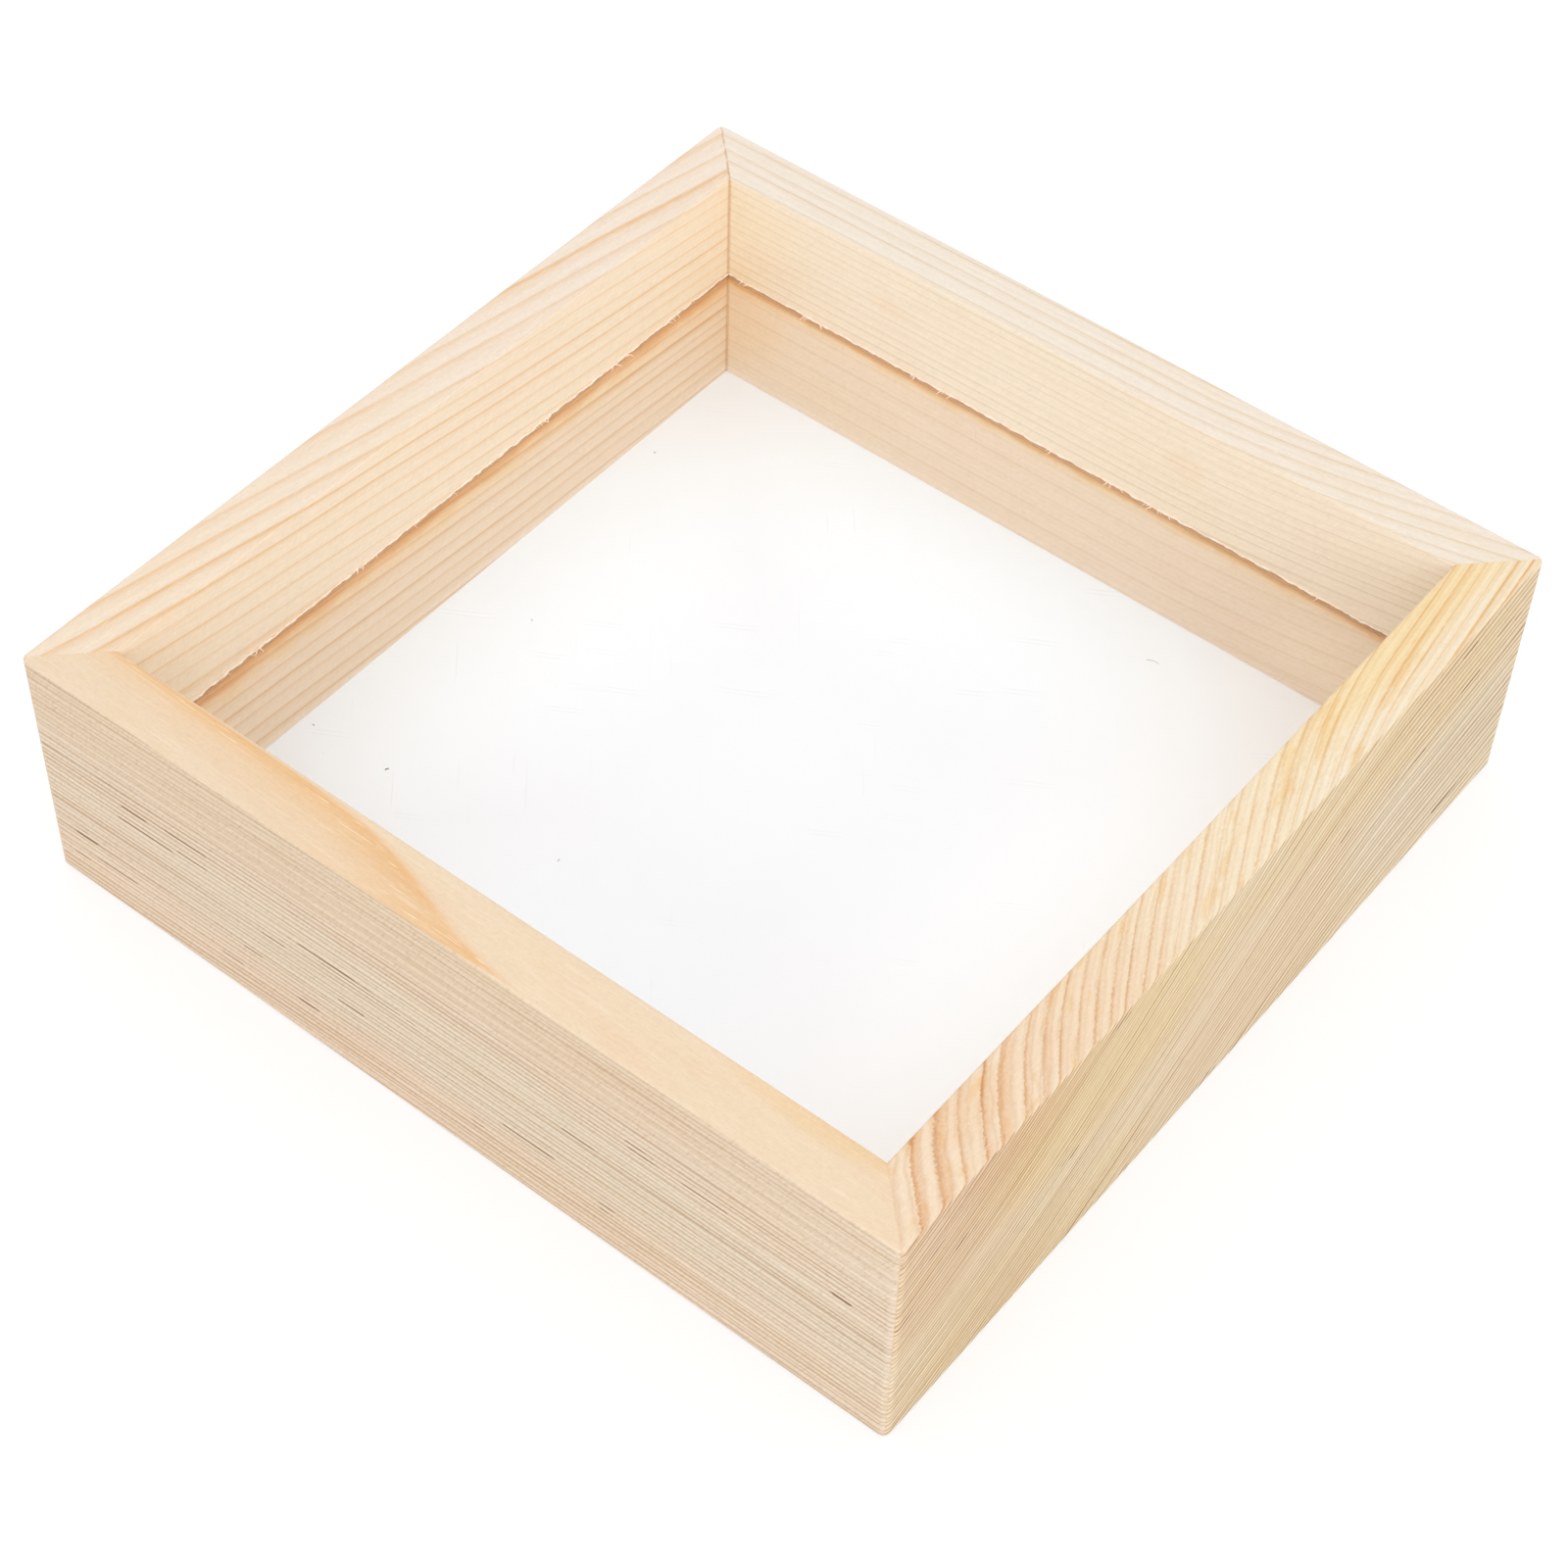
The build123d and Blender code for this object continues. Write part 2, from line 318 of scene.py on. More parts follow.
# %% The grain of each rail
# painted light: the inner walls and outer faces take lighter tones than the tops, to make up for the
# less light that reaches them
GRAINS = {
    "front_rail": Grain(
        lean_start=-0.32, lean_end=-0.092, slope=0.0189, bend=2.62, bend_start=-140, bend_end=8,
        pitch=4.6, low_pitch=2.9, turn_height=54.6, first_ring=0.04, heart=-1,
        stray=0.05, uneven=0.0, late_width=0.24, peak=0.955, faintest=0.35,
        fine_pitch=1.36, fine=0.1, saw=0.9, calm_above=40, seed=1.0, joints=(0.05, 0.12),
        top_start=tone(223, 201, 173), top_end=tone(223, 201, 173),
        inner=tone(242, 220, 193), outer=tone(241, 223, 201),
        stain=(0.96, 0.71, 0.42), wall_stain=(0.90, 0.76, 0.6),
        low_stain=(0.86, 0.7, 0.55), outer_stain=(0.86, 0.79, 0.70),
        nicks=((-62, 34.6, 7), (-72, 28.5, 9), (-22, 27.1, 18), (-41, 23.1, 4), (-91, 14.6, 5),
               (-47, 14.9, 3), (-85, 10.5, 9), (-34, 10.6, 4), (-53, 7.9, 3), (32, 26.6, 5),
               (60, 35.2, 6), (46, 35.6, 6), (89, 33.6, 3), (-60, 30.5, 5), (-75, 32.4, 4),
               (-93, 7.6, 3), (8, 10.6, 3), (38, 11, 4), (20, 15.2, 8), (-22, 18.7, 4)),
        flushes=((-30, 54, 170, 19, (0.95, 0.91, 0.85)),
                 (-20, 3, 150, 13, (1.02, 0.99, 0.97)),
                 (10, 24, 120, 14, (0.985, 1.01, 1.015))),
        top_flushes=((-70, 2, 60, 9, (0.985, 0.985, 1.0)),
                     (74, 12, 24, 5, (1.0, 0.955, 0.84))),
    ),
    "right_rail": Grain(
        lean_start=0.42, lean_end=1.1, slope=0.13, bend=58.0, bend_start=-130, bend_end=60,
        fan=0.005, pitch=2.75, low_pitch=2.75, first_ring=0.4, heart=1,
        stray=0.35, uneven=0.4, late_width=0.32, faintest=0.5, middle=0.62, broad=1.0, ragged=0.3,
        fine_pitch=1.37, fine=0.35, saw=1.14, keen=1.4, blotch=0.9, seed=2.0, joints=(0.12, 0.06),
        top_start=tone(227, 207, 181), top_end=tone(230, 212, 177),
        inner=tone(242, 220, 193), outer=tone(245, 228, 199),
        stain=(0.72, 0.43, 0.21), end_stain=(0.79, 0.52, 0.17), wall_stain=(0.90, 0.76, 0.6),
        low_stain=(0.86, 0.7, 0.55), outer_stain=(0.92, 0.85, 0.76),
        nicks=((-91, 46.7, 5), (-97, 34, 5), (-80, 40, 6), (-50, 28.6, 4), (-39, 55.5, 4),
               (64, 45, 9), (74, 53.6, 4), (58, 34.9, 8), (36, 35, 4), (91, 47.5, 6), (77, 42, 6),
               (-25, 8, 3), (82, 6, 9), (-40, 1.2, 3), (-29, 1.2, 2), (-4, 1.4, 7)),
        flushes=((-92, 46, 46, 30, (0.98, 0.915, 0.86)),
                 (-42, 46, 44, 24, (1.0, 0.96, 0.815)),
                 (-60, 8, 46, 18, (0.98, 0.955, 0.87)),
                 (-66, 56, 44, 13, (0.97, 0.93, 0.95)),
                 (50, 50, 66, 16, (1.0, 0.965, 0.87)),
                 (72, 20, 44, 20, (0.985, 1.015, 1.07)),
                 (10, 22, 40, 26, (1.0, 0.97, 0.95))),
        top_flushes=((-78, 6, 34, 16, (1.0, 0.985, 0.985)),
                     (-70, 8, 12, 6, (0.98, 0.93, 0.86)),
                     (-38, 6, 26, 14, (0.985, 0.955, 0.925)),
                     (10, 4, 48, 12, (1.0, 1.03, 1.08)),
                     (62, 10, 46, 7, (1.0, 0.955, 0.855)),
                     (66, 1, 56, 6, (1.0, 1.025, 1.13))),
    ),
    "back_rail": Grain(
        lean_start=-0.67, lean_end=-0.67, slope=0.01, bend=16.0, bend_start=20, bend_end=170,
        pitch=2.2, low_pitch=4.6, turn_height=25.0, first_ring=0.3, heart=1,
        stray=0.12, uneven=0.25, late_width=0.24, faintest=0.6,
        fine_pitch=1.5, fine=0.15, seed=3.0, joints=(0.6, 0.06),
        top_start=tone(226, 215, 201), top_end=tone(226, 214, 199),
        inner=tone(246, 233, 212), outer=tone(240, 223, 199),
        stain=(0.84, 0.74, 0.58), wall_stain=(0.74, 0.69, 0.62),
        low_stain=(0.91, 0.85, 0.78), outer_stain=(0.84, 0.75, 0.66),
        nicks=((-60, 40, 9), (-44, 36, 6), (40, 15, 10), (52, 22, 5), (-10, 9, 4)),
        flushes=((0, 54, 150, 14, (0.99, 0.96, 0.91)),),
        # painted light: the first two tints lighten the wall's right end, where the right rail
        # shades it
        wall_tints_and_painted_light=((98, 8, 60, 40, (1.07, 1.08, 1.09)),
                      (90, 14, 46, 16, (1.06, 1.08, 1.08)),
                      (-45, 46, 7, 3, (1.0, 0.96, 0.925)),
                      (28, 46, 6, 5, (1.0, 0.97, 0.95)),
                      (-88, 44, 24, 24, (1.0, 0.975, 0.93)),
                      (-88, 22, 20, 18, (1.0, 0.96, 0.87))),
    ),
    "left_rail": Grain(
        lean_start=-0.8, lean_end=-0.8, slope=-0.14, fan=0.0125,
        pitch=3.9, low_pitch=3.6, turn_height=25.0, first_ring=0.55, heart=1,
        stray=0.45, uneven=0.35, late_width=0.40, faintest=0.55,
        fine_pitch=1.45, fine=0.1, groove_band_reach=2.3, seed=4.0, joints=(0.05, 0.6),
        top_start=tone(227, 210, 189), top_end=tone(227, 213, 198),
        inner=tone(249, 232, 208), outer=tone(240, 222, 197),
        stain=(0.90, 0.65, 0.38), wall_stain=(0.88, 0.66, 0.38),
        low_stain=(0.77, 0.52, 0.22), outer_stain=(0.84, 0.75, 0.66),
        nicks=((50, 42, 9), (31, 47, 5), (-40, 12, 10), (-70, 20, 6)),
        flushes=((-70, 30, 50, 30, (1.0, 0.96, 0.88)),),
        # painted light: the first tint lightens the wall's front end, where the front rail shades it
        wall_tints_and_painted_light=((-96, 14, 60, 44, (1.06, 1.07, 1.07)),
                      (10, 10, 130, 22, (0.99, 1.025, 1.06))),
    ),
}
print("grain set for", ", ".join(GRAINS))

# %% The ring sheet through a point of a rail
# quarter turns that bring each rail to the front, and 1 or -1 for the way that s runs
PLACES = {"front_rail": (0, 1), "right_rail": (1, 1), "back_rail": (2, -1), "left_rail": (3, -1)}


def rail_place(tree, rail):
    """s, u and z of a point of the rail, in millimetres."""
    quarter, way = PLACES[rail]
    turned = tree.node("ShaderNodeMapping", {"vector_type": "POINT"}, {
        "Vector": tree.place(),
        "Rotation": (0.0, 0.0, -math.radians(90 * quarter)),
        "Scale": (1 / MM, 1 / MM, 1 / MM),
        "Location": (0.0, half_side, 0.0),
    })
    s, u, z = tree.apart(turned)
    return s * float(way), u, z


def ring_height(tree, grain, s, u, z):
    """Height of the ring sheet through this point at its start, by the outer face."""
    place = tree.vector(s * 0.014 + grain.seed * 17.0, u * 0.08, z * 0.08)
    stray = (tree.noise(place, 1.0, 1.0) - 0.5) * (4 * grain.stray)
    bend = tree.rise(s, grain.bend_start, grain.bend_end, 0.0, grain.bend)
    climb = (s * grain.slope + bend) * (z * grain.fan + (1.0 - case_height * grain.fan))
    lean = tree.rise(s, -half_side, -0.1 * half_side, grain.lean_start, grain.lean_end)
    return z + u * lean - climb + stray


# %% A point of a rail
class RailPoint:
    """Where a point is in its rail, which faces it is on, and the ring sheet through it."""

    def __init__(self, tree, rail):
        self.tree = tree
        self.grain = GRAINS[rail]
        self.s, self.u, self.z = rail_place(tree, rail)
        self.height = ring_height(tree, self.grain, self.s, self.u, self.z)
        # each is 1 on its face, or below the pane, and 0 elsewhere
        self.top = tree.rise(self.z, case_height - 0.5, case_height - 0.1)
        off_top = 1.0 - self.top
        self.outer = tree.rise(self.u, 0.8, 1.2, 1.0, 0.0) * off_top
        self.inner = tree.rise(self.u, rail_thickness - 0.3, rail_thickness - 0.05) * off_top
        self.below_pane = tree.rise(self.z, pane_bottom - 0.4, groove_top, 1.0, 0.0)
        self.low_wall = self.below_pane * self.inner
        # noise that follows the ring sheets, in long streaks and in fibres
        self.streak = self.noise(0.013, 0.2, 0.5, with_rings=True)
        self.fibre = self.noise(0.06, 2.4, 2.8, 2.0, 0.6, with_rings=True)

    def noise(self, along, inwards, upwards, detail=1.0, roughness=0.5, with_rings=False):
        """Noise with so many changes for each mm along the rail, into it and up it."""
        level = self.height if with_rings else self.z
        place = self.tree.vector(
            self.s * along + self.grain.shift, self.u * inwards, level * upwards)
        return self.tree.noise(place, 1.0, detail, roughness)


# %% [markdown]
# ### Rings and fine lines
# Early wood is pale and soft. Towards the end of a summer it turns into a darker, harder line,
# which drops back sharply where the next year begins. A Wave texture would give even stripes, so
# rings are counted instead: the whole part of the count is a ring's own number, which decides how
# strong it is, and the fraction is how far through its year the point is. A ramp turns that into
# the slow rise and the sharp fall. Finer lines run with the rings and are made the same way.

# %% Counting the rings
RINGS_BEFORE, LINES_BEFORE = 60.0, 80.0        # they keep the counts above zero


def ring_count(point):
    """Rings counted away from the heart of the tree, with uneven widths."""
    tree, grain = point.tree, point.grain
    from_turn = point.height - grain.turn_height
    above = tree.maths("MAXIMUM", from_turn, 0.0) * (1 / grain.pitch)
    below = tree.maths("MINIMUM", from_turn, 0.0) * (1 / grain.low_pitch)
    count = (above + below + grain.first_ring) * float(grain.heart) + RINGS_BEFORE
    uneven = tree.noise(tree.vector(count * 0.83, grain.seed, 0.0), 1.0, 0.0)
    count = count + (uneven - 0.5) * (2 * grain.uneven)
    ragged = (point.noise(1.5, 1.5, 1.5, 2.0, 0.6) - 0.5) * point.top
    return count + ragged * tree.rise(point.s, 0.0, 0.6 * half_side, grain.ragged, 0.0)


# %% Late wood and broad strokes
def late_wood(point, phase, ring):
    """How dark the late wood is, with a strength of its own in each ring."""
    tree, grain = point.tree, point.grain
    late = tree.ramp(phase, [
        (0.0, 0.12), (0.04, 0.0), (0.9 - 1.6 * grain.late_width, 0.0),
        (0.93 - 0.6 * grain.late_width, 0.3), (grain.peak, 1.0),
        (0.5 + 0.5 * grain.peak, 0.4), (1.0, 0.12),
    ])
    strength = tree.chance(ring + grain.shift) * (1.0 - grain.faintest) + grain.faintest
    late = late * strength * tree.rise(point.streak, 0.3, 0.6, 0.75, 1.0)
    at_start = tree.rise(point.s, -0.6 * half_side, 0.0, 1.0, grain.middle)
    at_end = tree.rise(point.s, 0.1 * half_side, 0.8 * half_side, grain.middle, 1.0)
    return late * tree.maths("MAXIMUM", at_start, at_end)


def broad_strokes(point, phase, ring):
    """Soft broad strokes beside the late wood, at the start of the rail."""
    tree, grain = point.tree, point.grain
    broad = tree.rise(phase, 0.35, 0.8) * tree.rise(phase, 0.9, 1.0, 1.0, 0.0)
    broad = broad * tree.chance(ring + grain.shift + 0.5)
    return broad * tree.rise(point.s, -0.8 * half_side, -0.25 * half_side, grain.broad, 0.0)


# %% Rings over early wood
def ringed(point, late, broad):
    """The colour of the early wood on each face, with the rings over it."""
    tree, grain = point.tree, point.grain
    along_rail = tree.rise(point.s, -0.7 * half_side, 0.7 * half_side)
    top_colour = tree.blend(along_rail, grain.top_start, grain.top_end)
    # painted light: the inner and outer tones are lighter than the top's, for the less light on
    # those faces
    colour = tree.blend(point.top, grain.inner, top_colour)
    colour = tree.blend(point.outer, colour, grain.outer)
    top_stain = tree.blend(along_rail, grain.stain, grain.end_stain)
    wall_stain = tree.blend(point.below_pane, grain.wall_stain, grain.low_stain)
    stain = tree.blend(point.inner, top_stain, wall_stain)
    stain = tree.blend(point.outer, stain, grain.outer_stain)
    # on the inner wall only the darkest part of a ring shows
    narrow = late * (1.0 - point.inner * (1.0 - late) * (0.8 - point.below_pane * 0.4))
    colour = tree.tinted(narrow, colour, stain)
    return tree.tinted(broad * point.top, colour, (0.96, 0.83, 0.70))


# %% Fine lines
class FineLines:
    """Lines finer than the rings: the number of each, how far through it is, and its darkness."""

    def __init__(self, point):
        tree, grain = point.tree, point.grain
        count = point.height * (1 / grain.fine_pitch) + point.streak * 1.2 + LINES_BEFORE
        self.phase = tree.maths("FRACT", count)
        self.number = tree.maths("FLOOR", count)
        self.darkness = tree.ramp(self.phase, [
            (0.0, 0.7), (0.12, 0.2), (0.25, 0.0), (0.5, 0.0), (0.72, 0.45), (0.88, 1.0), (1.0, 0.7),
        ]) * (tree.chance(self.number + grain.shift) * 0.5 + 0.5)


def lined(point, colour, lines):
    """Fine lines over the colour, strongest on the sawn outer face."""
    tree, grain = point.tree, point.grain
    shown = point.outer * (grain.saw - grain.fine) + grain.fine
    shown = shown * tree.rise(point.z, grain.calm_above - 3.0, grain.calm_above + 5.0, 1.0, 0.55)
    shown = shown * tree.rise(point.s, -0.7 * half_side, -0.3 * half_side, grain.keen, 1.0)
    shown = shown * tree.rise(abs(point.s), half_side - 1.8, half_side - 0.6, 1.0, 0.6)
    line_tint = tree.blend(point.outer, (0.78, 0.64, 0.5), (0.54, 0.38, 0.23))
    return tree.tinted(lines.darkness * shown, colour, line_tint)


# %% [markdown]
# ### Tinted areas and nicks
# Each real rail has places of its own: a corner that is pinker than the rest, a yellow end, a few
# brown nicks where the saw pulled a fibre out. Two inner walls also get lighter areas at one end,
# which are painted light where the next rail shades them. Noise can't be told where to put them, and
# painting them on an image would tie the finish to one size. So each is an oval with a place and a
# size in millimetres. A nick's oval only says where the wood may be torn: what shows are short
# stretches of the fine lines in it.

# %% Ovals on a face
NICK_HALF_HEIGHT = 1.1             # mm


def oval(tree, s, across, centre, half_size):
    """1 in the middle of an oval of a face, fading to 0 at its edge."""
    along = (s - float(centre[0])) * (1 / half_size[0])
    over = (across - float(centre[1])) * (1 / half_size[1])
    return tree.rise(along * along + over * over, 0.1, 1.0, 1.0, 0.0)


def flushed(point, colour, across, face, flushes):
    """The tinted areas of one face over the colour, with painted light among them on the inner
    walls.
    """
    for centre_s, centre, half_length, half_width, tint in flushes:
        area = oval(point.tree, point.s, across, (centre_s, centre), (half_length, half_width))
        colour = point.tree.tinted(area * face, colour, tint)
    return colour


def nicked(point, colour, lines):
    """Short brown stretches of the fine lines where the saw tore the outer face."""
    tree, grain = point.tree, point.grain
    torn = 0.0
    for centre_s, centre_z, half_length in grain.nicks:
        area = oval(tree, point.s, point.z, (centre_s, centre_z), (half_length, NICK_HALF_HEIGHT))
        torn = tree.maths("MAXIMUM", area, torn)
    place = tree.vector(point.s * 0.42 + grain.shift, lines.number * 3.7, 0.0)
    broken = tree.noise(place, 1.0, 2.0)
    nick = tree.rise(broken * 0.8 + torn * 0.4, 0.5, 0.58) * tree.rise(torn, 0.0, 0.2)
    nick = nick * point.outer * tree.ramp(lines.phase, [
        (0.0, 0.3), (0.03, 0.0), (0.74, 0.0), (0.82, 1.0), (0.96, 1.0), (1.0, 0.3)])
    return tree.blend(nick, colour, tone(122, 70, 34))


# %% [markdown]
# ### Clouds, fibres and the marks of the tools
# Wood without rings isn't plain either. It has broad clouds of warmer and cooler tone, thin darker
# and paler fibres, and on a planed top some rough orange patches. The saw leaves a tooth of short
# strokes across the lines, which the plane mostly takes off, and the plane lifts a pale fibre here
# and there out of the hard late wood. All of it is stretched noise: how many changes there are in
# a millimetre along the rail and across it makes it a cloud, a fibre or a stroke.

# %% Clouds and fibres
def clouded(point, colour):
    """Clouds of tone, fibres, rough patches on the top, and specks, over the colour."""
    tree = point.tree
    cloud = point.noise(0.02, 0.1, 0.05)
    colour = tree.tinted(tree.rise(cloud, 0.5, 0.7, 0.0, 0.8), colour, (1.0, 0.985, 0.95))
    colour = tree.tinted(tree.rise(cloud, 0.5, 0.3, 0.0, 0.8), colour, (1.0, 0.975, 0.965))
    shown = point.outer * 0.6 + 0.4
    dark_fibre = tree.rise(point.fibre, 0.52, 0.75) * shown * 0.5
    pale_fibre = tree.rise(point.fibre, 0.45, 0.25) * shown * 0.35
    colour = tree.tinted(dark_fibre, colour, (0.88, 0.82, 0.74))
    colour = tree.blend(pale_fibre, colour, tone(252, 243, 230))
    rough = tree.rise(point.noise(0.05, 0.12, 0.25, 3.0, 0.65, with_rings=True), 0.54, 0.66)
    colour = tree.tinted(rough * point.top * point.grain.blotch, colour, (0.98, 0.87, 0.70))
    speckle = tree.rise(point.noise(0.9, 2.2, 2.2), 0.3, 0.7, 0.5, 0.0)
    return tree.tinted(speckle, colour, (0.93, 0.92, 0.90))


# %% Marks of the saw and the plane
def toothed(point, colour, late):
    """The tooth of the saw, and fibres that the plane pulled out, over the colour."""
    tree, s, z = point.tree, point.s, point.z
    # strokes at 60 degrees to the rail, four times as long as they are wide
    place = tree.vector(
        (s * 0.85 - z * 0.5) * 2.1 + point.grain.shift, (s * 0.5 + z * 0.85) * 0.5, point.u * 2.1)
    tooth = tree.noise(place, 1.0, 2.0, 0.6)
    shown = point.outer * 0.45 + 0.2
    colour = tree.tinted(tree.rise(tooth, 0.5, 0.72) * shown, colour, (0.84, 0.80, 0.74))
    colour = tree.tinted(tree.rise(tooth, 0.5, 0.28) * shown, colour, (1.06, 1.07, 1.08))
    pulled = tree.rise(point.noise(0.14, 5.0, 5.0), 0.68, 0.75) * tree.rise(late, 0.2, 0.7)
    return tree.blend(pulled * point.top * 0.6, colour, tone(255, 240, 214))


# %% [markdown]
# ### Scorch and painted shade in the groove, and glue lines
# A dull blade burns pine, and the lip of the groove shades what lies under it. The ledge of the
# groove is painted orange and light, for the warm light that reaches it through the pane. The wall
# just under it goes from brown to straw and then to clean wood: partly the scorch of the blade and
# partly painted shade under the lip, with painted warm bounce light. The clean wood below the pane
# is painted a little deeper in tone than the wall above it, partly as painted shade for the light
# that the pane holds back. At each end of a rail the mitre shows as a thin brown line of glue. Both
# follow a distance that is easy to work out, below the ledge or from the mitre's plane, so neither
# needs a texture that is laid out by hand. A little noise keeps their edges from being ruled.

# %% Scorch, painted groove shade and glue
def scorched_and_shaded(point, colour):
    """Painted shade below the pane, and scorch with painted shade and warm light in the groove, over
    the colour.
    """
    tree, low_wall = point.tree, point.low_wall
    # painted shade: the wall below the pane is a little darker, partly for the light that the pane
    # holds back
    colour = tree.tinted(low_wall, colour, (0.94, 0.88, 0.85))
    uneven = tree.rise(point.noise(0.12, 0.0, 0.3, 2.0), 0.3, 0.7, 0.75, 1.3)
    depth_below = (pane_bottom - point.z) / (uneven * point.grain.groove_band_reach)
    # partly scorch of the blade, partly painted shade under the lip and painted warm bounce light
    straw = tree.rise(depth_below, 0.6, 3.2, 1.0, 0.0) * low_wall
    brown = tree.rise(depth_below, 0.0, 1.5, 1.0, 0.0) * low_wall
    colour = tree.tinted(straw, colour, (1.0, 0.91, 0.70))
    colour = tree.tinted(brown, colour, (0.87, 0.62, 0.43))
    # painted light: the ledge in the lip's shade is painted a light orange, for the warm light that
    # reaches it
    ledge = tree.rise(point.z, pane_bottom - 0.1, pane_bottom - 0.02) * point.below_pane
    ledge = ledge * tree.rise(point.u, groove_floor, groove_floor + 0.4)
    return tree.blend(ledge * (1.0 - point.inner), colour, tone(244, 200, 154))


def glued(point, colour):
    """Glue lines at both mitres, broken on the top and soft down the inner corner."""
    tree, s, u = point.tree, point.s, point.u
    worn = tree.noise(tree.vector(u * 1.3 + point.grain.shift, point.z * 0.35, s * 0.05), 1.0, 1.0)
    width = tree.rise(worn, 0.3, 0.7, 0.12, 0.4)
    distances = (abs(s + half_side - u), abs(s - half_side + u))
    for distance, darkness in zip(distances, point.grain.joints):
        line = tree.rise(distance / width, 0.4, 1.4, darkness, 0.0)
        line = line * tree.rise(worn, 0.36, 0.46, 0.25, 1.0)
        colour = tree.blend(line * (1.0 - point.inner), colour, tone(188, 138, 92))
        soft_line = tree.rise(distance, 0.15, 0.7, 0.75 * darkness, 0.0)
        colour = tree.blend(soft_line * point.inner, colour, tone(202, 150, 98))
    return colour


# %% [markdown]
# ### All layers together
# The layers go on from large to small, as on the real wood, where the tools' marks and the glue lie
# over everything that grew. Raw pine isn't shiny. The sawn face is the roughest, and the hard late
# wood is a little smoother than the rest.

# %% Pine for one rail
def pine(rail):
    material, tree = new_finish("pine_" + rail)
    point = RailPoint(tree, rail)
    grain = point.grain
    count = ring_count(point)
    phase = tree.maths("FRACT", count)
    ring = tree.maths("FLOOR", count)
    late = late_wood(point, phase, ring)
    lines = FineLines(point)

    colour = ringed(point, late, broad_strokes(point, phase, ring))
    colour = lined(point, colour, lines)
    colour = flushed(point, colour, point.z, point.outer, grain.flushes)
    colour = flushed(point, colour, point.u, point.top, grain.top_flushes)
    # the inner walls' areas include painted light at their shaded ends
    colour = flushed(point, colour, point.z, point.inner, grain.wall_tints_and_painted_light)
    colour = nicked(point, colour, lines)
    colour = clouded(point, colour)
    colour = toothed(point, colour, late)
    colour = scorched_and_shaded(point, colour)
    colour = glued(point, colour)

    relief = point.noise(0.08, 3.0, 3.0, 1.0, 0.6)
    roughness = point.outer * 0.1 + 0.62 + (point.fibre - 0.5) * 0.15 - late * 0.08
    finish_surface(tree, {
        "Base Color": colour, "Roughness": roughness, "IOR": 1.45,
        "Normal": tree.bump(relief, 0.4, 0.12),
    })
    return material


for rail in GRAINS:
    dress(rail, pine(rail))

# %% [markdown]
# ## The pane
# The pane is a clear sheet, and it is modelled as one: a Principled shader with full transmission
# bends what is seen through it and mirrors the room a little. A plain Transparent shader would be
# quicker, but it bends and mirrors nothing. Rays from lamps can't find their way through bent
# glass, though, so a Transparent shader stands in for it there, through Light Path. Fine wipe marks
# and a breath of haze come from a matt film, which is mixed in by a mask that is nearly nothing
# everywhere.

# %% Clear pane
WHITE = (1.0, 1.0, 1.0, 1.0)


def clear_sheet():
    material, tree = new_finish("clear_sheet")
    place = tree.place()
    x, y, _ = tree.apart(place)
    haze = tree.noise(place, 14.0, 3.0, 0.6)
    # wipe marks in two directions, long one way and close the other
    wipe = tree.noise(tree.vector(x * 30.0 + y * 22.0, (y - x * 0.6) * 900.0, 1.0), 1.0, 2.0, 0.5)
    cross = tree.noise(tree.vector((x - y) * 25.0, (x + y * 0.8) * 1200.0, 5.0), 1.0, 2.0, 0.5)
    film = tree.rise(haze, 0.45, 0.8, 0.0, 0.012)
    film = film + tree.rise(wipe, 0.68, 0.76, 0.0, 0.05) + tree.rise(cross, 0.7, 0.78, 0.0, 0.04)
    sheet = tree.node("ShaderNodeBsdfPrincipled", None, {
        "Base Color": WHITE, "Transmission Weight": 1.0, "Roughness": 0.0, "IOR": 1.49})
    dusty = tree.node("ShaderNodeBsdfPrincipled", None, {
        "Base Color": tone(226, 226, 224), "Roughness": 0.9})
    seen = tree.node("ShaderNodeMixShader", None, {0: film, 1: sheet, 2: dusty})
    through = tree.node("ShaderNodeBsdfTransparent", None, {"Color": WHITE})
    shadow_ray = tree.node("ShaderNodeLightPath", output="Is Shadow Ray")
    lamp_side = tree.maths("MAXIMUM", shadow_ray, tree.also(shadow_ray, "Is Diffuse Ray"))
    surface = tree.node("ShaderNodeMixShader", None, {0: lamp_side, 1: seen, 2: through})
    tree.node("ShaderNodeOutputMaterial", None, {"Surface": surface})
    return material


dress("clear_pane", clear_sheet())

# %% [markdown]
# ## Card and board
# The card is matt white paper, with a felt of fibres too fine to see as lines. One flat white would
# do for it, but the pine walls throw a warm light on its rim, the near rails shade it, and its
# middle would be a blank. So light is painted into the paper's colour: a lighter, cooler white near
# its rim against the warm light and shade there, a little greyer in the middle, and nearly plain
# white at its
# +x end against the shade of the near rails, all worked out from the place of a point. The board
# behind it is hardboard: brown fibres pressed flat, with darker and lighter flecks that come from
# one noise read at two levels.

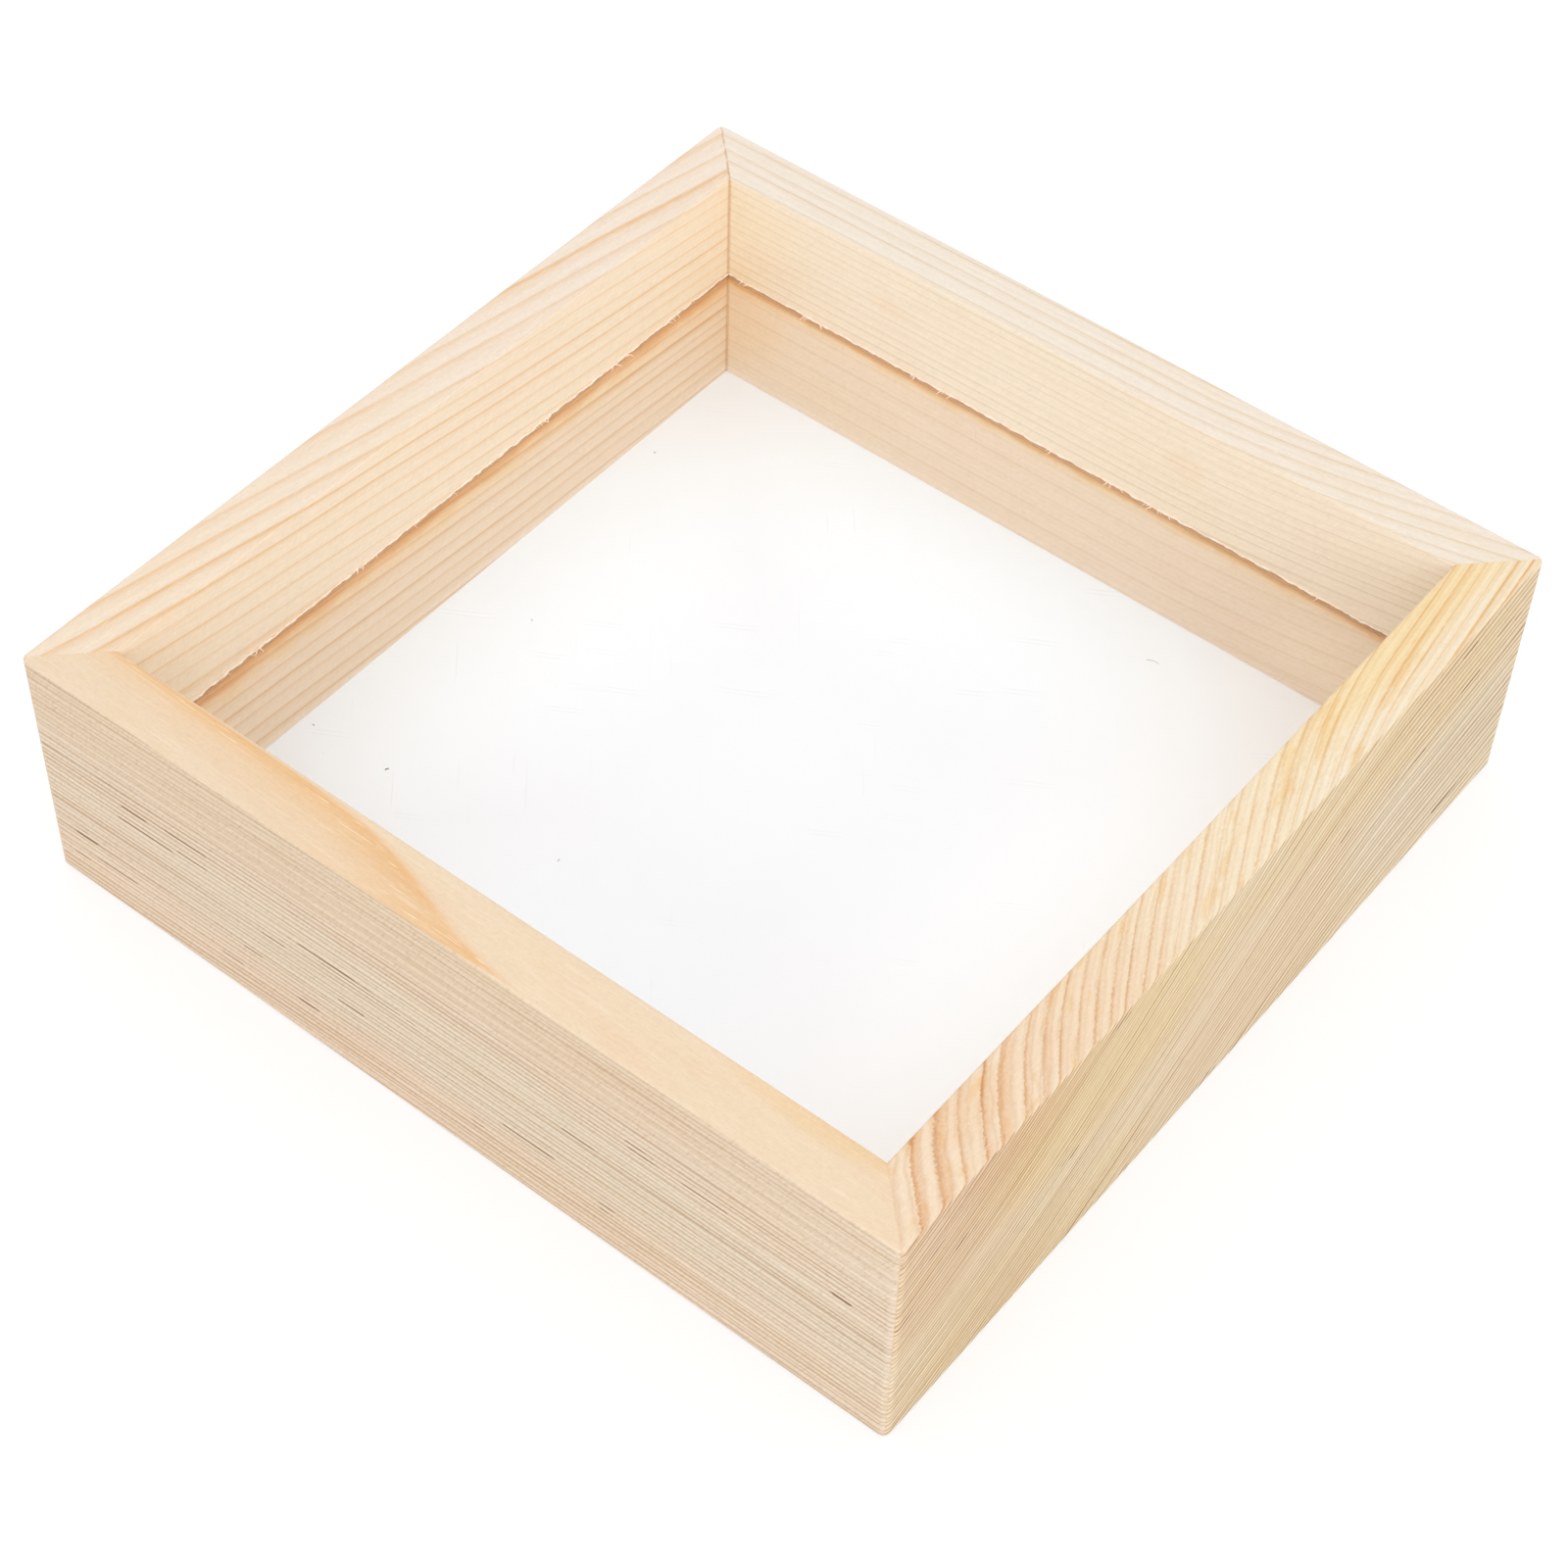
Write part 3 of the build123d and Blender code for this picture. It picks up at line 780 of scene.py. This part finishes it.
# %% White card
def white_card():
    material, tree = new_finish("card_paper")
    place = tree.place()
    x, y, _ = tree.apart(place)
    half_card = half_opening * MM
    felt = tree.noise(place, 2600.0, 3.0, 0.6)
    towards_edge = tree.maths("MAXIMUM", abs(x), abs(y)) / half_card
    # painted light: nearly plain white towards the +x end against the near rails' shade, and a
    # lighter, cooler rim against the warm light and shade there
    away_from_painted_x_end = tree.rise(x, 0.1 * half_card, 0.95 * half_card, 1.0, 0.0)
    grey = tree.blend(tree.rise(towards_edge, 0.3, 0.85), (0.83, 0.85, 0.88), (0.895, 0.955, 1.0))
    colour = tree.blend(away_from_painted_x_end, (0.965, 0.99, 1.0), grey)
    colour = tree.tinted(1.0, colour, tone(252, 253, 255))
    finish_surface(tree, {
        "Base Color": colour, "Roughness": felt * 0.1 + 0.36,
        "Normal": tree.bump(felt, 0.3, 0.03),
    })
    return material


dress("backing_card", white_card())


# %% Hardboard
def hardboard():
    material, tree = new_finish("pressed_board")
    place = tree.place()
    fleck = tree.noise(place, 900.0, 4.0, 0.7)
    strand = tree.node(
        "ShaderNodeTexVoronoi", {"feature": "F1"}, {"Vector": place, "Scale": 1100.0})
    cloud = tree.noise(place, 30.0, 3.0)
    colour = tree.blend(cloud, tone(150, 108, 72), tone(171, 126, 86))
    colour = tree.blend(tree.rise(fleck, 0.55, 0.75, 0.0, 0.6), colour, tone(108, 72, 44))
    colour = tree.blend(tree.rise(fleck, 0.42, 0.25, 0.0, 0.45), colour, tone(201, 160, 118))
    colour = tree.blend(tree.rise(strand, 0.1, 0.5, 0.25, 0.0), colour, tone(92, 60, 38))
    finish_surface(tree, {
        "Base Color": colour, "Roughness": fleck * 0.2 + 0.55,
        "Normal": tree.bump(fleck + strand * 0.5, 0.5, 0.08),
    })
    return material


dress("back_board", hardboard())

# %% [markdown]
# ## Small metal parts
# The turn buttons are stamped from plated strip, so they carry fine brush lines along the strip and
# faint finger marks. The screws and the nails are drawn wire: the screws are plated, and the nails
# are bare steel that has started to dull. Real scratches would need a mesh of their own for lines
# that are thinner than a hair, so noise stands in for them, stretched along the metal. One function
# makes all of these finishes from a few sizes.

# %% Steel finishes
def steel(name, colour, dull, brushed, roughness, line_scale):
    """Metal with dull spots, and brush lines that are long where their scale is small."""
    material, tree = new_finish(name)
    place = tree.place()
    lines = tree.node("ShaderNodeMapping", None, {"Vector": place, "Scale": line_scale})
    brush = tree.noise(lines, 1.0, 3.0, 0.6)
    spots = tree.noise(place, 260.0, 3.0, 0.6)
    shade = tree.blend(tree.rise(spots, 0.4, 0.7, 0.0, 0.6), colour, dull)
    # the two noises add about 0.13 to the roughness on average, so that is taken off
    finish_surface(tree, {
        "Base Color": tree.tinted(brush * brushed, shade, (0.8, 0.8, 0.8)), "Metallic": 1.0,
        "Roughness": brush * 0.12 + spots * 0.15 + (roughness - 0.13),
        "Normal": tree.bump(brush, 0.25, 0.02),
    })
    return material


ZINC = {"colour": tone(206, 208, 210), "dull": tone(172, 173, 172),
        "brushed": 0.5, "roughness": 0.34}
WIRE_LINES = (2500, 2500, 700)
zinc_along_x = steel("zinc_strip_along_x", line_scale=(300, 9000, 9000), **ZINC)
zinc_along_y = steel("zinc_strip_along_y", line_scale=(9000, 300, 9000), **ZINC)
screw_steel = steel("plated_screw", tone(214, 207, 190), tone(168, 158, 138), 0.3, 0.3, WIRE_LINES)
nail_steel = steel("bare_nail", tone(168, 166, 164), tone(112, 104, 98), 0.4, 0.42, WIRE_LINES)

for side, zinc in (("front", zinc_along_x), ("right", zinc_along_y),
                   ("back", zinc_along_x), ("left", zinc_along_y)):
    dress(side + "_turn_button", zinc)
    dress(side + "_pivot_screw", screw_steel)
for corner in ("front_left", "front_right", "back_right", "back_left"):
    dress(corner + "_corner_nail", nail_steel)

# %% [markdown]
# ## Torn fibres along the groove
# A saw blade leaves the upper lip of the groove furry: a thin pale thread of crushed fibre all the
# way round, and single fibres that stick out over the pane. A hair system could grow the fibres, but
# not the thread, and the two share one line. So Geometry Nodes make both, because they repeat along
# a path. The thread is a closed curve at the lip with its points shaken, given a thin uneven
# profile. The fibres are short bent curves set on points along the same line. Each tree ends with
# real geometry and its finish, and its result becomes a plain mesh.

# %% From a node tree to a plain mesh
def add_object(name, data):
    """An object in the scene, at the origin."""
    added = bpy.data.objects.new(name, data)
    bpy.context.scene.collection.objects.link(added)
    return added


def geometry_tree(name, inputs):
    """An empty Geometry Nodes tree with named number inputs, and wires to them."""
    group = bpy.data.node_groups.new(name, "GeometryNodeTree")
    group.interface.new_socket("Geometry", in_out="OUTPUT", socket_type="NodeSocketGeometry")
    for label, value in inputs.items():
        kind = "NodeSocketInt" if isinstance(value, int) else "NodeSocketFloat"
        group.interface.new_socket(label, in_out="INPUT", socket_type=kind)
    tree = Tree(group)
    first = tree.node("NodeGroupInput")
    return tree, {label: tree.also(first, label) for label in inputs}


def grow(name, tree, geometry, inputs, material, body):
    """Evaluates the tree once and keeps the result as a plain mesh that rides on a body."""
    solid = tree.node("GeometryNodeRealizeInstances", None, {"Geometry": geometry})
    painted = tree.node("GeometryNodeSetMaterial", None, {"Geometry": solid, "Material": material})
    tree.node("NodeGroupOutput", None, {"Geometry": painted})
    holder = add_object(name, bpy.data.meshes.new(name))
    modifier = holder.modifiers.new("grow", "NODES")
    modifier.node_group = tree.node_tree
    for item in tree.node_tree.interface.items_tree:
        if item.in_out == "INPUT":
            modifier[item.identifier] = inputs[item.name]
    bpy.context.view_layer.update()
    seen = holder.evaluated_get(bpy.context.evaluated_depsgraph_get())
    mesh = bpy.data.meshes.new_from_object(seen)
    holder.modifiers.clear()
    holder.data = mesh
    mesh.name = name
    mesh.materials.clear()
    mesh.materials.append(material)
    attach(holder, body)
    print(name, len(mesh.polygons), "faces")


# %% Finish of the torn fibres
def torn_fibre():
    material, tree = new_finish("torn_fibre")
    tuft = tree.noise(tree.place(), 700.0, 2.0)
    colour = tree.blend(tree.rise(tuft, 0.35, 0.65), tone(252, 230, 208), tone(255, 244, 232))
    finish_surface(tree, {"Base Color": colour, "Roughness": tuft * 0.2 + 0.7})
    return material


fibre_finish = torn_fibre()
print("finish of the fibres:", fibre_finish.name)


# %% The line that both follow
line_height = groove_top + 0.02    # mm, at the edge of the lip


def lip_line(tree, side, height):
    """A closed square curve along the lip of the groove."""
    square = tree.node(
        "GeometryNodeCurvePrimitiveQuadrilateral", None, {"Width": side, "Height": side})
    lift = tree.vector(0.0, 0.0, height)
    return tree.node("GeometryNodeSetPosition", None, {"Geometry": square, "Offset": lift})


# %% The thread of crushed fibre
THREAD_INSET = 0.08                # mm from the wall to its middle
SHAKE = (0.6 * MM, 0.6 * MM, 0.9 * MM)         # the range in which its points are shaken


def lip_thread(name, inputs, body):
    tree, given = geometry_tree(name, inputs)
    line = lip_line(tree, given["Side"], given["Height"])
    line = tree.node("GeometryNodeResampleCurve", None, {"Curve": line, "Count": given["Points"]})
    place = tree.node("GeometryNodeInputPosition")
    shake = tree.node("ShaderNodeTexNoise", None, {
        "Vector": place, "Scale": given["Raggedness"], "Detail": 3.0}, output="Color")
    # less is taken off in z, so that the thread lies a little above its line
    centred = tree.vector_maths("SUBTRACT", shake, (0.5, 0.5, 0.42))
    offset = tree.vector_maths("MULTIPLY", centred, SHAKE)
    line = tree.node("GeometryNodeSetPosition", None, {"Geometry": line, "Offset": offset})
    swell = tree.noise(place, 900.0, 2.0)
    radius = given["Radius"] * tree.rise(swell, 0.3, 0.7, 0.5, 1.3)
    profile = tree.node("GeometryNodeCurvePrimitiveCircle", None, {"Resolution": 5, "Radius": 1.0})
    thread = tree.node("GeometryNodeCurveToMesh", None, {
        "Curve": line, "Profile Curve": profile, "Scale": radius})
    grow(name, tree, thread, inputs, fibre_finish, body)


lip_thread("lip_thread", {
    "Side": 2 * (half_opening - THREAD_INSET) * MM, "Height": line_height * MM,
    "Points": 2200, "Raggedness": 420.0, "Radius": 0.2 * MM,
}, "frame")

# %% [markdown]
# The single fibres come in clumps, because the saw tears where the wood is soft. So points go all
# along the line, and a noise deletes those on sound wood. Each point that is left gets one bent
# strand, 1 long along x, which is aimed at the middle of the case, turned aside at random, and
# scaled to its own length.

# %% Where the fibres stand and how they are aimed
def clumped_points(tree, given):
    """Points along the lip, in clumps."""
    line = lip_line(tree, given["Side"], given["Height"])
    points = tree.node(
        "GeometryNodeCurveToPoints", {"mode": "COUNT"}, {"Curve": line, "Count": given["Count"]})
    clump = tree.noise(tree.node("GeometryNodeInputPosition"), given["Clumps"], 2.0)
    bare = tree.node(
        "FunctionNodeCompare", {"operation": "LESS_THAN"}, {"A": clump, "B": given["Bare share"]})
    return tree.node("GeometryNodeDeleteGeometry", None, {"Geometry": points, "Selection": bare})


def inward_turn(tree, seed):
    """A turn that aims x inwards from the point's own side of the case, and a little aside."""
    place = tree.node("GeometryNodeInputPosition")
    x, y, _ = tree.apart(tree.vector_maths("MULTIPLY", place, (-1.0, -1.0, 0.0)))
    on_side = tree.node(
        "FunctionNodeCompare", {"operation": "GREATER_THAN"}, {"A": abs(x), "B": abs(y)})
    inward = tree.vector(
        tree.maths("SIGN", x) * on_side, tree.maths("SIGN", y) * (1.0 - on_side), 0.0)
    aside = tree.random_vector((-0.9, -0.9, -0.04), (0.9, 0.9, 0.14), seed)
    aim = tree.vector_maths("ADD", inward, aside)
    return tree.node("FunctionNodeAlignRotationToVector", {"axis": "X"}, {"Vector": aim})


# %% Single fibres over the pane
FIBRE_INSET = 0.1                  # mm from the wall to where they start


def bent_strand(tree, thickness):
    """A strand 1 long along x, thinner towards its end. Its thickness is a share of its length."""
    curve = tree.node("GeometryNodeCurveQuadraticBezier", None, {
        "Resolution": 4, "Start": (0.0, 0.0, 0.0), "Middle": (0.5, 0.12, 0.06),
        "End": (1.0, -0.05, 0.03)})
    share = tree.node("GeometryNodeSplineParameter")
    profile = tree.node(
        "GeometryNodeCurvePrimitiveCircle", None, {"Resolution": 4, "Radius": thickness})
    return tree.node("GeometryNodeCurveToMesh", None, {
        "Curve": curve, "Profile Curve": profile, "Scale": 1.0 - share * 0.65, "Fill Caps": True})


def lip_fibres(name, inputs, body):
    tree, given = geometry_tree(name, inputs)
    share = tree.node(
        "FunctionNodeRandomValue", {"data_type": "FLOAT"},
        {2: 0.25, 3: 1.0, "Seed": given["Seed"]}, output=1)
    size = given["Length"] * share
    fibres = tree.node("GeometryNodeInstanceOnPoints", None, {
        "Points": clumped_points(tree, given), "Instance": bent_strand(tree, given["Thickness"]),
        "Rotation": inward_turn(tree, given["Seed"]), "Scale": tree.vector(size, size, size)})
    grow(name, tree, fibres, inputs, fibre_finish, body)


lip_fibres("lip_fibres", {
    "Side": 2 * (half_opening - FIBRE_INSET) * MM, "Height": line_height * MM, "Count": 900,
    "Clumps": 170.0, "Bare share": 0.6, "Length": 1.7 * MM, "Thickness": 0.14, "Seed": 7,
}, "frame")

# %% [markdown]
# ## Dust on the pane
# An open pane is never clean. Fine dust lies all over it, thinly, and a few crumbs of sawdust and
# a hair catch the eye. Dust could be specks in the pane's own material, but then it would lie in
# the sheet and not on it. So it is one low lump, set on random points over the sheet, turned and
# sized at random. The crumbs and the hair are few and each lies in its own place, so they are
# written out one by one.

# %% Finishes of the dust
def dust_finish(name, light, dark):
    material, tree = new_finish(name)
    grain = tree.noise(tree.place(), 1500.0, 2.0)
    colour = tree.blend(tree.rise(grain, 0.4, 0.6), light, dark)
    finish_surface(tree, {"Base Color": colour, "Roughness": grain * 0.1 + 0.8})
    return material


pale_dust = dust_finish("pale_dust", tone(214, 208, 200), tone(176, 168, 158))
sawdust = dust_finish("sawdust", tone(150, 122, 92), tone(92, 74, 58))
print("finishes of the dust:", pale_dust.name, "and", sawdust.name)


# %% Fine dust
DUST_MARGIN = 3                    # mm along the walls that stay clean
DUST_LIFT = 0.01                   # mm from the pane up to the middle of a lump


def pane_dust(name, inputs, body):
    tree, given = geometry_tree(name, inputs)
    sheet = tree.node("GeometryNodeMeshGrid", None, {
        "Size X": given["Side"], "Size Y": given["Side"], "Vertices X": 2, "Vertices Y": 2})
    lifted = tree.vector(0.0, 0.0, given["Height"])
    sheet = tree.node("GeometryNodeSetPosition", None, {"Geometry": sheet, "Offset": lifted})
    points = tree.node("GeometryNodeDistributePointsOnFaces", None, {
        "Mesh": sheet, "Density": given["Density"], "Seed": given["Seed"]})
    lump = tree.node("GeometryNodeMeshIcoSphere", None, {"Radius": 1.0, "Subdivisions": 1})
    turn = tree.random_vector((0.0, 0.0, 0.0), (0.0, 0.0, 6.28), given["Seed"])
    stretch = tree.random_vector((0.4, 0.4, 0.3), (1.6, 1.0, 0.5), given["Seed"])
    size = tree.node(
        "ShaderNodeVectorMath", {"operation": "SCALE"}, {0: stretch, "Scale": given["Size"]})
    specks = tree.node("GeometryNodeInstanceOnPoints", None, {
        "Points": points, "Instance": lump, "Rotation": turn, "Scale": size})
    grow(name, tree, specks, inputs, pale_dust, body)


pane_dust("pane_dust", {
    "Side": 2 * (half_opening - DUST_MARGIN) * MM, "Height": (pane_top + DUST_LIFT) * MM,
    "Density": 9000.0, "Size": 0.06 * MM, "Seed": 3,
}, "frame")


# %% A thin tube
def tube_through(name, points, radii, material, sides=6):
    """A closed thin tube through points, with its own radius at each."""
    vertices, faces = [], []
    for number, (point, radius) in enumerate(zip(points, radii)):
        before = Vector(points[max(number - 1, 0)])
        after = Vector(points[min(number + 1, len(points) - 1)])
        along = (after - before).normalized()
        across = along.cross(Vector((0, 0, 1))).normalized()
        up = across.cross(along)
        for side in range(sides):
            angle = 2 * math.pi * side / sides
            outwards = across * math.cos(angle) + up * math.sin(angle)
            vertices.append((Vector(point) + outwards * radius)[:])
    for ring in range(len(points) - 1):
        first, second = ring * sides, (ring + 1) * sides
        for side in range(sides):
            following = (side + 1) % sides
            faces.append((first + side, second + side, second + following, first + following))
    last = (len(points) - 1) * sides
    faces.append(tuple(range(sides)))
    faces.append(tuple(reversed(range(last, last + sides))))
    mesh = bpy.data.meshes.new(name)
    mesh.from_pydata(vertices, [], faces)
    mesh.materials.append(material)
    return add_object(name, mesh)


# %% Crumbs of sawdust
CRUMBS = (                         # x, y, length and width of each in mm, and its heading
    (-47.8, -61.7, 0.8, 0.24, 70),
    (-65.9, -62.4, 0.5, 0.16, 20),
    (-8.9, -57.9, 0.6, 0.14, 100),
    (-64.2, 35.4, 0.5, 0.14, 45),
    (-52.4, -15.7, 0.5, 0.12, 150),
)


def crumb(number, x, y, length, width, heading):
    """A crumb that lies on the pane, bent a little and thickest in its middle."""
    turn = math.radians(heading)
    points, radii = [], []
    for share in (0.0, 0.25, 0.5, 0.8, 1.0):
        reach = (share - 0.5) * length
        sway = 0.18 * width * math.sin(5 * share + number)
        points.append(((x + reach * math.cos(turn) - sway * math.sin(turn)) * MM,
                       (y + reach * math.sin(turn) + sway * math.cos(turn)) * MM,
                       (pane_top + width / 2 + 0.01) * MM))
        thickness = 0.35 + 0.65 * math.sin(math.pi * (0.15 + 0.7 * share))
        radii.append(width / 2 * thickness * MM)
    return tube_through("sawdust_crumb_%d" % (number + 1), points, radii, sawdust)


for number, sizes in enumerate(CRUMBS):
    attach(crumb(number, *sizes), "frame")
print(len(CRUMBS), "crumbs on the pane")

# %% A hair
HAIR_START = (45.2, 52.2)          # x and y, mm
HAIR_REACH = 2.6                   # mm along x
HAIR_RADIUS = 0.035                # mm
HAIR_STEPS = 12

hair_points = []
for step in range(HAIR_STEPS + 1):
    share = step / HAIR_STEPS
    bend = 0.5 * math.sin(2.6 * share) + 0.25 * share * share
    lift = 0.05 + 0.06 * math.sin(math.pi * share)
    hair_points.append(((HAIR_START[0] + HAIR_REACH * share) * MM,
                        (HAIR_START[1] + bend) * MM, (pane_top + lift) * MM))
hair_radii = [HAIR_RADIUS * MM] * len(hair_points)
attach(tube_through("stray_hair", hair_points, hair_radii, sawdust, 5), "frame")
print("a hair through", len(hair_points), "points on the pane")

# %% [markdown]
# ## Floor, light and camera
# The case lies on a plain white sheet. To the camera the sheet is nearly white, and the shadow of
# the case still falls on it, but it throws back less light than that, so that the sides of the case
# are modelled by the lamps and not washed out from below. More light on the sheet would whiten it
# too, but would bleach the pine as well, so Light Path tells the rays apart instead. The sheet goes
# down with the back panel when that is taken out, because the case then stands higher.

# %% Floor
FLOOR_SIDE = 8.0                   # m
FLOOR_GAP = 0.03                   # mm under the base, so that the two never share a plane
FLOOR_GLOW = 0.6                   # share of plain white in what is seen of the floor


def seen_rays(tree):
    """1 for rays that show a thing: straight to the camera, mirrored, or through the pane."""
    camera_ray = tree.node("ShaderNodeLightPath", output="Is Camera Ray")
    seen = tree.maths("MAXIMUM", camera_ray, tree.also(camera_ray, "Is Glossy Ray"))
    return tree.maths("MAXIMUM", seen, tree.also(camera_ray, "Is Transmission Ray"))


def floor_paper():
    material, tree = new_finish("floor_paper")
    seen = seen_rays(tree)
    colour = tree.blend(seen, tone(200, 200, 200), tone(250, 250, 250))
    paper = tree.node("ShaderNodeBsdfDiffuse", None, {"Color": colour})
    glow = tree.node("ShaderNodeEmission", None, {"Color": WHITE, "Strength": 1.0})
    surface = tree.node("ShaderNodeMixShader", None, {0: seen * FLOOR_GLOW, 1: paper, 2: glow})
    tree.node("ShaderNodeOutputMaterial", None, {"Surface": surface})
    return material


def floor_sheet(side, height):
    half = side / 2
    corners = [(-half, -half, height), (half, -half, height),
               (half, half, height), (-half, half, height)]
    mesh = bpy.data.meshes.new("floor_sheet")
    mesh.from_pydata(corners, [], [(0, 1, 2, 3)])
    mesh.materials.append(floor_paper())
    return add_object("floor_sheet", mesh)


floor = floor_sheet(FLOOR_SIDE, -FLOOR_GAP * MM)
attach(floor, "back_panel")
print("floor of", FLOOR_SIDE, "m")

# %% [markdown]
# The light is an even pale room with two wide soft lamps: the key stands at the front right, and
# the fill hangs overhead at the back left, so that the tops come out a little lighter than the
# sides. Small lamps would model the case more, but would throw hard shadows on the card. The fill
# is so wide that the pane mirrors only its even middle, and not its rim.

# %% Room and lamps
ROOM = 0.94                        # strength of the room's light


def white_room():
    world = bpy.data.worlds.new("white_room")
    world.use_nodes = True
    world.node_tree.nodes.clear()
    tree = Tree(world.node_tree)
    lighting = tree.node("ShaderNodeBackground", None, {"Color": WHITE, "Strength": ROOM})
    backdrop = tree.node("ShaderNodeBackground", None, {"Color": WHITE, "Strength": 1.0})
    surface = tree.node("ShaderNodeMixShader", None, {0: seen_rays(tree), 1: lighting, 2: backdrop})
    tree.node("ShaderNodeOutputWorld", None, {"Surface": surface})
    bpy.context.scene.world = world


def soft_lamp(name, place, power, size):
    """A round lamp that faces the middle of the case: its power in watts, its size in metres."""
    light = bpy.data.lights.new(name, "AREA")
    light.shape = "DISK"
    light.size = size
    light.energy = power
    facing = (-Vector(place)).to_track_quat("-Z", "Y").to_matrix().to_4x4()
    add_object(name, light).matrix_world = Matrix.Translation(place) @ facing
    print(name, "of", power, "W")


white_room()
soft_lamp("key_lamp", (1.35, -1.4, 1.4), 21.0, 2.6)
soft_lamp("fill_lamp", (-0.6, 0.6, 2.4), 13.0, 3.6)
bpy.context.scene.view_settings.view_transform = "Standard"

# %% [markdown]
# The camera looks down at the case from beyond its front right corner, turned a little about its
# own axis, with a lens long enough to keep the sides nearly parallel. A Track To constraint would
# aim it, but couldn't turn it about its axis, so its three directions are worked out here.

# %% Camera
AZIMUTH, ELEVATION, ROLL = (math.radians(angle) for angle in (36.861, 49.131, 2.204))
DISTANCE = 0.67912                 # m from the target
TARGET = Vector((-0.00506, 0.00442, 0.0))
LENS, SENSOR = 78.74, 36.0         # mm

towards = Vector((math.sin(AZIMUTH) * math.cos(ELEVATION),
                  -math.cos(AZIMUTH) * math.cos(ELEVATION), math.sin(ELEVATION)))
level = (-towards).cross(Vector((0, 0, 1))).normalized()
upright = level.cross(-towards)
right = level * math.cos(ROLL) + upright * math.sin(ROLL)
up = upright * math.cos(ROLL) - level * math.sin(ROLL)
camera_data = bpy.data.cameras.new("camera")
camera_data.lens = LENS
camera_data.sensor_width = SENSOR
camera = add_object("camera", camera_data)
camera.matrix_world = (Matrix.Translation(TARGET + towards * DISTANCE)
                       @ Matrix((right, up, towards)).transposed().to_4x4())
bpy.context.scene.camera = camera
print("camera", round(DISTANCE, 3), "m from the case")
